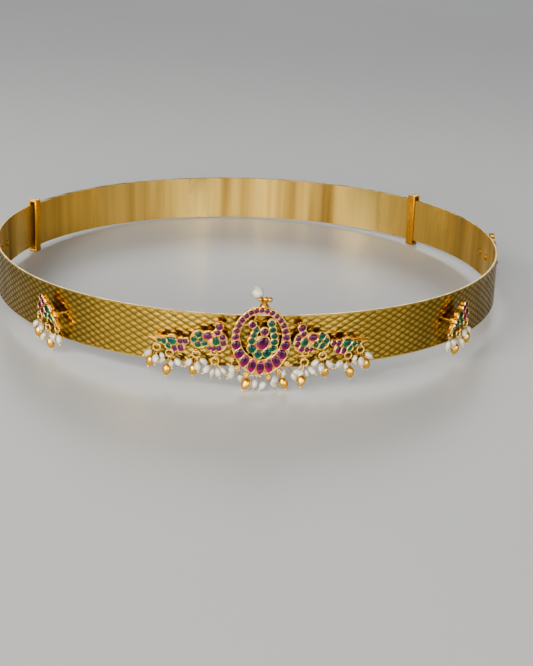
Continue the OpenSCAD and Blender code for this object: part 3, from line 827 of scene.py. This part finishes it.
RIM_WIRE = 0.22
WIRE_STEPS = 2
# How far a side face of a setting reaches above its back
SIDE_REACH = 0.3
WAVE_STEPS = 8
# A knot of granules over a ring: [across, up]
KNOT = ((0, 0.65), (-0.5, -0.1), (0.5, -0.1))
KNOT_OUT = 0.9
GRANULE_R = 0.45
# A rosette: petals round a heart, as shares of its radius and of a petal's
PETALS = 6
PETAL_SHARE = 0.36
HEART_SHARE = 0.9
HEART_OUT = 0.2


def wire_along(piece, radius):
    """Makes the edges of a piece a wire."""
    focus(piece)
    bpy.ops.object.convert(target="CURVE")
    wire = bpy.context.object
    wire.data.bevel_depth = radius * MM
    wire.data.bevel_resolution = WIRE_STEPS
    bpy.ops.object.convert(target="MESH")
    return bpy.context.object


def rim_wire(setting):
    """A wire on the outline of a setting's face."""
    to_setting = SETTINGS[setting].inverted()
    piece = loose_copy(setting + "_frame")
    edit(piece, "EDGE")
    bpy.ops.mesh.select_all(action="DESELECT")
    mesh = bmesh.from_edit_mesh(piece.data)
    level = {vertex: (to_setting @ vertex.co).z for vertex in mesh.verts}

    def on_face(part):
        return all(abs(level[vertex] - FACE) < ON_LEVEL for vertex in part.verts)

    def on_side(face):
        return min(level[vertex] for vertex in face.verts) < STAND_OFF + SIDE_REACH

    for edge in mesh.edges:
        faces = edge.link_faces
        edge.select_set(on_face(edge) and any(map(on_side, faces)) and any(map(on_face, faces)))
    bmesh.update_edit_mesh(piece.data)
    bpy.ops.mesh.select_all(action="INVERT")
    bpy.ops.mesh.delete(type="EDGE")
    bpy.ops.mesh.select_all(action="SELECT")
    bpy.ops.mesh.delete_loose(use_verts=True, use_edges=False, use_faces=False)
    bpy.ops.object.mode_set(mode="OBJECT")
    return wire_along(piece, RIM_WIRE)


def wavy_wire(at, start, end, waves, height, radius):
    """A short wavy wire between two spots of a setting."""
    deselect()
    bpy.ops.mesh.primitive_grid_add(x_subdivisions=WAVE_STEPS * waves, y_subdivisions=1, size=1)
    piece = bpy.context.object
    edit(piece)
    bpy.ops.mesh.select_all(action="DESELECT")
    mesh = bmesh.from_edit_mesh(piece.data)
    for vertex in mesh.verts:
        vertex.select_set(vertex.co.y > 0)
    bmesh.update_edit_mesh(piece.data)
    bpy.ops.mesh.delete(type="VERT")
    bpy.ops.object.mode_set(mode="OBJECT")
    for vertex in piece.data.vertices:
        share = vertex.co.x + 0.5
        spot = Vector(start).lerp(Vector(end), share)
        vertex.co = at @ (spot + Vector((0, height * math.sin(share * waves * math.tau), 0)))
    return wire_along(piece, radius)


def granule(at, spot, radius):
    return moulded(BEAD_FORM, lambda p: at @ (Vector(spot) + p * radius))


def ring_trim(setting, kind):
    """Bright wire rings, each under a knot of granules."""
    at = SETTINGS[setting]
    pieces = []
    for x, y in RINGS[kind]:
        pieces.append(moulded(RING_FORM, lambda p: at @ (Vector((x, y, HANG_LEVEL)) + p)))
        top = y + RING_R
        for across, up in KNOT:
            pieces.append(granule(at, (x + across, top + up, HANG_LEVEL + KNOT_OUT), GRANULE_R))
    return pieces


def rosettes():
    at = SETTINGS["medallion"]
    pieces = []
    petal = ROSETTE_R * PETAL_SHARE
    for turn in ROSETTE_TURNS:
        middle = Vector((MEDAL_W / 2 * sine(turn), -MEDAL_H / 2 * cosine(turn))) + ROSETTE_OUT * outward(turn)
        for k in range(PETALS):
            spot = middle + (ROSETTE_R - petal) * outward(360 / PETALS * k)
            pieces.append(granule(at, (spot.x, spot.y, FACE), petal))
        pieces.append(granule(at, (middle.x, middle.y, FACE + HEART_OUT), petal * HEART_SHARE))
    return pieces


def trim(setting, pieces):
    trimmed = outside_out(joined([rim_wire(setting)] + pieces), BEAD_SMOOTH)
    finished(trimmed, setting + "_trim", "antique_gold", BRIGHT)


def drop(setting, ring, turn, lean, distance, length, width, taper, uneven):
    """A bead on its head pin, hung in a ring: the bead, and the pin's eye, shaft and ball."""
    x, y = RINGS[setting.split("_")[1]][ring]
    spot = (SETTINGS[setting] @ Matrix.Translation((x, y, HANG_LEVEL)) @ turned(turn, "Z")
            @ Matrix.Translation((0, -RING_R, 0)) @ turned(90 - lean, "X"))
    down = (spot.to_3x3() @ Vector((0, 0, 1))).normalized()
    middle = distance - RING_R
    tip = middle + length / 2 + BALL_R
    bead = moulded(BEAD_FORM, fit_bead(spot @ Vector((0, 0, middle)), down, length * MM, width * MM,
                                       taper, uneven))
    return bead, [moulded(EYE_FORM, lambda p: spot @ p),
                  moulded(SHAFT_FORM, lambda p: spot @ Vector((p.x, p.y, EYE_R + (tip - EYE_R) * p.z))),
                  moulded(BEAD_FORM, lambda p: spot @ (Vector((0, 0, tip)) + p * BALL_R))]


def more_drops(name, setting):
    """Pearls and gold beads on their pins, besides those that the solids have."""
    hung = [drop(setting, *spot, PEARL_L, PEARL_D, 0.0, PEARL_UNEVEN)
            for spot in MORE_DROPS[setting.split("_")[1]]]
    pins = [part for _, pin in hung for part in pin]
    if setting in GOLD_DROPS:
        bead, pin = drop(setting, *GOLD_DROPS[setting], GOLD_BEAD_L, GOLD_BEAD_D, GOLD_TAPER, GOLD_UNEVEN)
        finished(outside_out(bead, BEAD_SMOOTH), name + "_more_gold", "satin_gold", SATIN)
        pins += pin
    pearls = joined([bead for bead, _ in hung])
    finished(outside_out(pearls, BEAD_SMOOTH), name + "_more_pearls", "pearl", PEARL)
    finished(outside_out(joined(pins), BEAD_SMOOTH), name + "_more_pins", "pin_gold", BRIGHT)


# Stage, in metres and watts

FLOOR_SIZE = 14
FLOOR_GAP = 0.0001
FLOOR_DARK = (0.50, 0.50, 0.51)
FLOOR_LIGHT = (0.56, 0.56, 0.56)
FLOOR_CLOUDS = 3.0
FLOOR_DETAIL = 2.0
FLOOR_ROUGH = 0.38
DAYLIGHT = (1.0, 0.97, 0.9)
PANEL_LIGHT = (1.0, 0.97, 0.88)
# Lamps: [name, place, size, energy, colour]
LAMPS = (("key", (-1.1, -0.9, 1.0), (0.8, 0.6), 14, DAYLIGHT),
         ("back", (0.2, 1.5, 0.62), (1.8, 0.4), 7, (1, 1, 1)),
         ("window", (-0.35, -1.2, 1.0), (0.3, 0.25), 6, (1, 1, 1)))
# Low panels, for the bright sides of the emboss: [turn from the centre front, energy]
PANELS = ((-58, 6.0), (-24, 17.0), (24, 12.0), (55, 4.0))
PANEL_AWAY = 1.7
PANEL_UP = 0.36
PANEL_SIZE = (1.0, 0.3)
WORLD_COLOUR = (0.75, 0.8, 0.85)
WORLD_STRENGTH = 0.1
# Nearest that the camera sees
NEAREST = 0.01


def make_floor():
    deselect()
    bpy.ops.mesh.primitive_plane_add(size=FLOOR_SIZE, location=(0, 0, CAD_BOX[0].z - FLOOR_GAP))
    floor = bpy.context.object
    bpy.ops.object.transform_apply()
    floor.name = "floor"
    material, tree, shader = new_material("pale_table", Roughness=FLOOR_ROUGH)
    clouds = clouds_over(tree, own_place(tree), FLOOR_CLOUDS, FLOOR_DETAIL)
    tree.links.new(blend(tree, clouds, FLOOR_DARK + (1,), FLOOR_LIGHT + (1,)), shader.inputs["Base Color"])
    floor.data.materials.append(material)


def area_light(name, at, size, energy, colour):
    light = bpy.data.lights.new(name, "AREA")
    light.shape = "RECTANGLE"
    light.size, light.size_y = size
    light.energy = energy
    light.color = colour
    lamp = bpy.data.objects.new(name, light)
    bpy.context.scene.collection.objects.link(lamp)
    lamp.location = at
    lamp.rotation_euler = (-Vector(at)).to_track_quat("-Z", "Y").to_euler()


def make_lights():
    for lamp in LAMPS:
        area_light(*lamp)
    for i, (turn, energy) in enumerate(PANELS):
        spot = (PANEL_AWAY * sine(turn), -PANEL_AWAY * cosine(turn), PANEL_UP)
        area_light("low_panel_%d" % i, spot, PANEL_SIZE, energy, PANEL_LIGHT)
    world = bpy.data.worlds.new("studio")
    bpy.context.scene.world = world
    world.use_nodes = True
    sky = world.node_tree.nodes["Background"].inputs
    sky["Color"].default_value = WORLD_COLOUR + (1,)
    sky["Strength"].default_value = WORLD_STRENGTH
    bpy.context.scene.view_settings.look = "AgX - Medium High Contrast"


def make_camera():
    camera = bpy.data.objects.new("camera", bpy.data.cameras.new("camera"))
    camera.data.lens = FOCAL_PX * camera.data.sensor_width / PHOTO_LONG_SIDE
    across = Vector((cosine(CAMERA_YAW), sine(CAMERA_YAW), 0))
    level = Vector((-sine(CAMERA_YAW), cosine(CAMERA_YAW), 0))
    up = Vector((0, 0, 1))
    ahead = cosine(CAMERA_PITCH) * level - sine(CAMERA_PITCH) * up
    down = -cosine(CAMERA_PITCH) * up - sine(CAMERA_PITCH) * level
    right = cosine(CAMERA_ROLL) * across - sine(CAMERA_ROLL) * down
    down = sine(CAMERA_ROLL) * across + cosine(CAMERA_ROLL) * down
    facing = Matrix((right, -down, -ahead)).transposed().to_4x4()
    camera.matrix_world = Matrix.Translation(Vector(CAMERA_AT) * MM) @ facing
    camera.data.clip_start = NEAREST
    bpy.context.scene.collection.objects.link(camera)
    bpy.context.scene.camera = camera


DOME_FORM = dome_form()
WALL_FORM = wall_form()
BEAD_FORM = bead_form()
RING_FORM = torus_form(RING_R, RING_WIRE)
EYE_FORM = torus_form(EYE_R, EYE_WIRE, True)
SHAFT_FORM = shaft_form()

make_camera()
make_floor()
make_lights()
make_strip()
for side in ("left", "right"):
    polished(side + "_keeper", "keeper_gold", ANTIQUE, KEEPER_ROUNDING)
polished("medallion_frame", "antique_gold", ANTIQUE)
set_stones("medallion", ["medallion_ring_rubies", "medallion_emeralds", "medallion_rubies"])
trim("medallion", rosettes() + [wavy_wire(SETTINGS["medallion"], *LINK)])
for side in ("left", "right"):
    for spray in ("peacock", "leaf", "side", "rear"):
        setting = side + "_" + spray
        polished(setting + "_frame", "antique_gold", ANTIQUE)
        set_stones(setting, [setting + "_rubies", setting + "_emeralds"])
        trim(setting, ring_trim(setting, spray))
    more_drops(side + "_front", side + "_peacock")
    more_drops(side + "_side", side + "_side")
    more_drops(side + "_rear", side + "_rear")
for row in ("medallion", "left_front", "right_front", "left_side", "right_side", "left_rear", "right_rear"):
    # the rear rows mark the sides of the belt's box, so they keep their size
    grow = 1.0 if "rear" in row else BEAD_GROW
    pearls, gold_beads = row + "_pearls", row + "_gold_beads"
    polished(row + "_pins", "pin_gold", BRIGHT)
    set_beads(pearls, pearls + "_strung", "pearl", PEARL, 0.0, PEARL_UNEVEN, grow)
    set_beads(gold_beads, gold_beads + "_strung", "satin_gold", SATIN, GOLD_TAPER, GOLD_UNEVEN, grow)
set_beads("top_pearl", "top_pearl_round", "pearl", PEARL, 0.0, TOP_PEARL_UNEVEN)
for form in (DOME_FORM, WALL_FORM, BEAD_FORM, RING_FORM, EYE_FORM, SHAFT_FORM):
    bpy.data.objects.remove(form)
